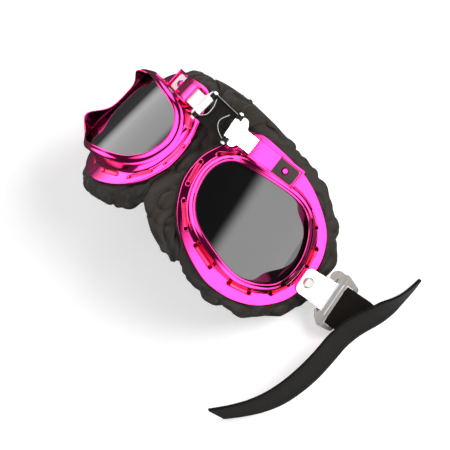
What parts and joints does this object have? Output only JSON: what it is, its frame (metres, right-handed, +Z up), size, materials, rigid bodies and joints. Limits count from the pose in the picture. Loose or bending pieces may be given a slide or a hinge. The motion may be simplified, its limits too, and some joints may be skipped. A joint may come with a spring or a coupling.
{
  "type": "dog_goggles",
  "caption": "Folding dog goggles with deep wrapped metallised eyecups, smoked lenses, gathered padding, sliding nose bridge and buckled elastic strap",
  "frame": {"origin": "on the table, under the middle of the goggles without their strap", "axes": "+X across the face to the eyecup with the long strap tails, +Y to the goggles' top edge, +Z up, away from the face"},
  "size_m": [0.1933, 0.1236, 0.0625],
  "materials": {
    "metallised_pink": "vacuum metallised, mirror gloss",
    "smoked_lens": "polished dark smoke tint",
    "gasket_rubber": "matt",
    "retainer_plastic": "fine grained",
    "chromed_steel": "bright chrome",
    "black_lacquer": "gloss black lacquer with bare cut edges",
    "satin_steel": "satin nickel",
    "padded_cloth": "soft coated cloth over foam",
    "elastic_webbing": "flat elastic weave"
  },
  "bodies": {
    "link": {"bridge_link": "black_lacquer", "hinge_pin_right": "chromed_steel", "hinge_pin_left": "chromed_steel", "nose_pad": "padded_cloth"},
    "plate_right": {"bridge_plate_right": "chromed_steel", "stop_rivet_right": "metallised_pink"},
    "eyecup_right": {"frame_right": "metallised_pink", "lens_right": "smoked_lens", "lens_gasket_right": "gasket_rubber", "retainer_ring_right": "retainer_plastic", "pad_right": "padded_cloth"},
    "bracket_right": {"strap_bracket_right": "chromed_steel", "bracket_rivet_right": "chromed_steel"},
    "buckle_right": {"buckle_right": "satin_steel", "strap_right": "elastic_webbing", "strap_loop_right": "elastic_webbing"},
    "plate_left": {"bridge_plate_left": "chromed_steel", "stop_rivet_left": "metallised_pink"},
    "eyecup_left": {"frame_left": "metallised_pink", "lens_left": "smoked_lens", "lens_gasket_left": "gasket_rubber", "retainer_ring_left": "retainer_plastic", "pad_left": "padded_cloth"},
    "bracket_left": {"strap_bracket_left": "chromed_steel", "bracket_rivet_left": "chromed_steel"},
    "buckle_left": {"buckle_left": "satin_steel", "strap_left": "elastic_webbing"}
  },
  "joints": [
    {"name": "fold_right", "type": "hinge", "parent": "link", "child": "plate_right", "pos_m": [0.00661, 0.0274, 0.06102], "axis": [-0.1132, 0.9936, 0], "range_deg": [-28.5, 8], "deforming": ["nose_pad"]},
    {"name": "width_right", "type": "slide", "parent": "plate_right", "child": "eyecup_right", "axis": [0.8789, 0.0299, -0.476], "range_m": [0, 0.0033]},
    {"name": "bracket_turn_right", "type": "hinge", "parent": "eyecup_right", "child": "bracket_right", "pos_m": [0.06517, -0.00528, 0.01804], "axis": [0.8109, 0.0924, 0.5779], "range_deg": [-6, 6]},
    {"name": "buckle_swing_right", "type": "hinge", "parent": "bracket_right", "child": "buckle_right", "pos_m": [0.07319, -0.00436, 0.00855], "axis": [0.1132, -0.9936, 0], "range_deg": [-20, 60], "deforming": ["strap_right", "strap_loop_right"]},
    {"name": "fold_left", "type": "hinge", "parent": "link", "child": "plate_left", "pos_m": [-0.01279, 0.0274, 0.06102], "axis": [-0.1132, -0.9936, 0], "range_deg": [-28.5, 8], "deforming": ["nose_pad"]},
    {"name": "width_left", "type": "slide", "parent": "plate_left", "child": "eyecup_left", "axis": [-0.8789, 0.0299, -0.476], "range_m": [-0.0024, 0.0009]},
    {"name": "bracket_turn_left", "type": "hinge", "parent": "eyecup_left", "child": "bracket_left", "pos_m": [-0.07347, -0.0052, 0.01689], "axis": [-0.8109, 0.0924, 0.5779], "range_deg": [-6, 6]},
    {"name": "buckle_swing_left", "type": "hinge", "parent": "bracket_left", "child": "buckle_left", "pos_m": [-0.08148, -0.00429, 0.00741], "axis": [0.1132, 0.9936, 0], "range_deg": [0, 90], "deforming": ["strap_left"]}
  ]
}
